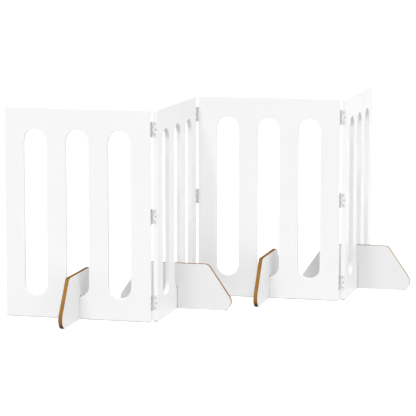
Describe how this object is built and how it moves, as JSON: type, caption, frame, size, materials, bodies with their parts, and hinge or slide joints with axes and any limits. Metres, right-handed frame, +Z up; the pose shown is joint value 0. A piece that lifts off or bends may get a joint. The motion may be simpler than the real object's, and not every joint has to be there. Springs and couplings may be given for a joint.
{
  "type": "folding pet gate",
  "caption": "Free-standing folding pet gate: white slotted boards hinged in a zig-zag, each standing in a lift-off foot board that straddles its bottom rail.",
  "frame": {"origin": "centre of the bounding box of the zig-zag as it stands, at floor level", "axes": "+Z up; +X along the first and third panels from the free end towards the joint; +Y along the second and fourth panels, from their first joint onward. The front faces of the first and third panels face -Y, those of the other two +X"},
  "size_m": [1.2316, 1.2316, 0.7],
  "materials": {
    "panel_board": "white satin lacquer on board",
    "foot_board": "white satin lacquer on the faces, bare brown board edges",
    "hinge_steel": "satin plated steel",
    "pin_steel": "satin plated steel",
    "screw_steel": "zinc plated steel"
  },
  "bodies": {
    "panel_1": {"panel_1": "panel_board", "hinge_1_top_leaf_left": "hinge_steel", "hinge_1_top_screws_left": "screw_steel", "hinge_1_top_pin": "pin_steel", "hinge_1_middle_leaf_left": "hinge_steel", "hinge_1_middle_screws_left": "screw_steel", "hinge_1_middle_pin": "pin_steel", "hinge_1_bottom_leaf_left": "hinge_steel", "hinge_1_bottom_screws_left": "screw_steel", "hinge_1_bottom_pin": "pin_steel"},
    "panel_2": {"panel_2": "panel_board", "hinge_1_top_leaf_right": "hinge_steel", "hinge_1_top_screws_right": "screw_steel", "hinge_1_middle_leaf_right": "hinge_steel", "hinge_1_middle_screws_right": "screw_steel", "hinge_1_bottom_leaf_right": "hinge_steel", "hinge_1_bottom_screws_right": "screw_steel", "hinge_2_top_leaf_left": "hinge_steel", "hinge_2_top_screws_left": "screw_steel", "hinge_2_top_pin": "pin_steel", "hinge_2_middle_leaf_left": "hinge_steel", "hinge_2_middle_screws_left": "screw_steel", "hinge_2_middle_pin": "pin_steel", "hinge_2_bottom_leaf_left": "hinge_steel", "hinge_2_bottom_screws_left": "screw_steel", "hinge_2_bottom_pin": "pin_steel"},
    "panel_3": {"panel_3": "panel_board", "hinge_2_top_leaf_right": "hinge_steel", "hinge_2_top_screws_right": "screw_steel", "hinge_2_middle_leaf_right": "hinge_steel", "hinge_2_middle_screws_right": "screw_steel", "hinge_2_bottom_leaf_right": "hinge_steel", "hinge_2_bottom_screws_right": "screw_steel", "hinge_3_top_leaf_left": "hinge_steel", "hinge_3_top_screws_left": "screw_steel", "hinge_3_top_pin": "pin_steel", "hinge_3_middle_leaf_left": "hinge_steel", "hinge_3_middle_screws_left": "screw_steel", "hinge_3_middle_pin": "pin_steel", "hinge_3_bottom_leaf_left": "hinge_steel", "hinge_3_bottom_screws_left": "screw_steel", "hinge_3_bottom_pin": "pin_steel"},
    "panel_4": {"panel_4": "panel_board", "hinge_3_top_leaf_right": "hinge_steel", "hinge_3_top_screws_right": "screw_steel", "hinge_3_middle_leaf_right": "hinge_steel", "hinge_3_middle_screws_right": "screw_steel", "hinge_3_bottom_leaf_right": "hinge_steel", "hinge_3_bottom_screws_right": "screw_steel"},
    "foot_1": {"foot_1": "foot_board"},
    "foot_2": {"foot_2": "foot_board"},
    "foot_3": {"foot_3": "foot_board"},
    "foot_4": {"foot_4": "foot_board"}
  },
  "joints": [
    {"name": "fold_1", "type": "hinge", "parent": "panel_1", "child": "panel_2", "pos_m": [-0.1143, -0.4101, 0], "axis": [0, 0, 1], "range_deg": [-90, 15]},
    {"name": "fold_2", "type": "hinge", "parent": "panel_2", "child": "panel_3", "pos_m": [-0.0929, 0.0929, 0], "axis": [0, 0, 1], "range_deg": [-15, 90]},
    {"name": "fold_3", "type": "hinge", "parent": "panel_3", "child": "panel_4", "pos_m": [0.4101, 0.1143, 0], "axis": [0, 0, 1], "range_deg": [-90, 15]},
    {"name": "foot_lift_1", "type": "slide", "parent": "panel_1", "child": "foot_1", "axis": [0, 0, 1], "range_m": [0, 0.08]},
    {"name": "foot_lift_2", "type": "slide", "parent": "panel_2", "child": "foot_2", "axis": [0, 0, 1], "range_m": [0, 0.08]},
    {"name": "foot_lift_3", "type": "slide", "parent": "panel_3", "child": "foot_3", "axis": [0, 0, 1], "range_m": [0, 0.08]},
    {"name": "foot_lift_4", "type": "slide", "parent": "panel_4", "child": "foot_4", "axis": [0, 0, 1], "range_m": [0, 0.08]}
  ]
}
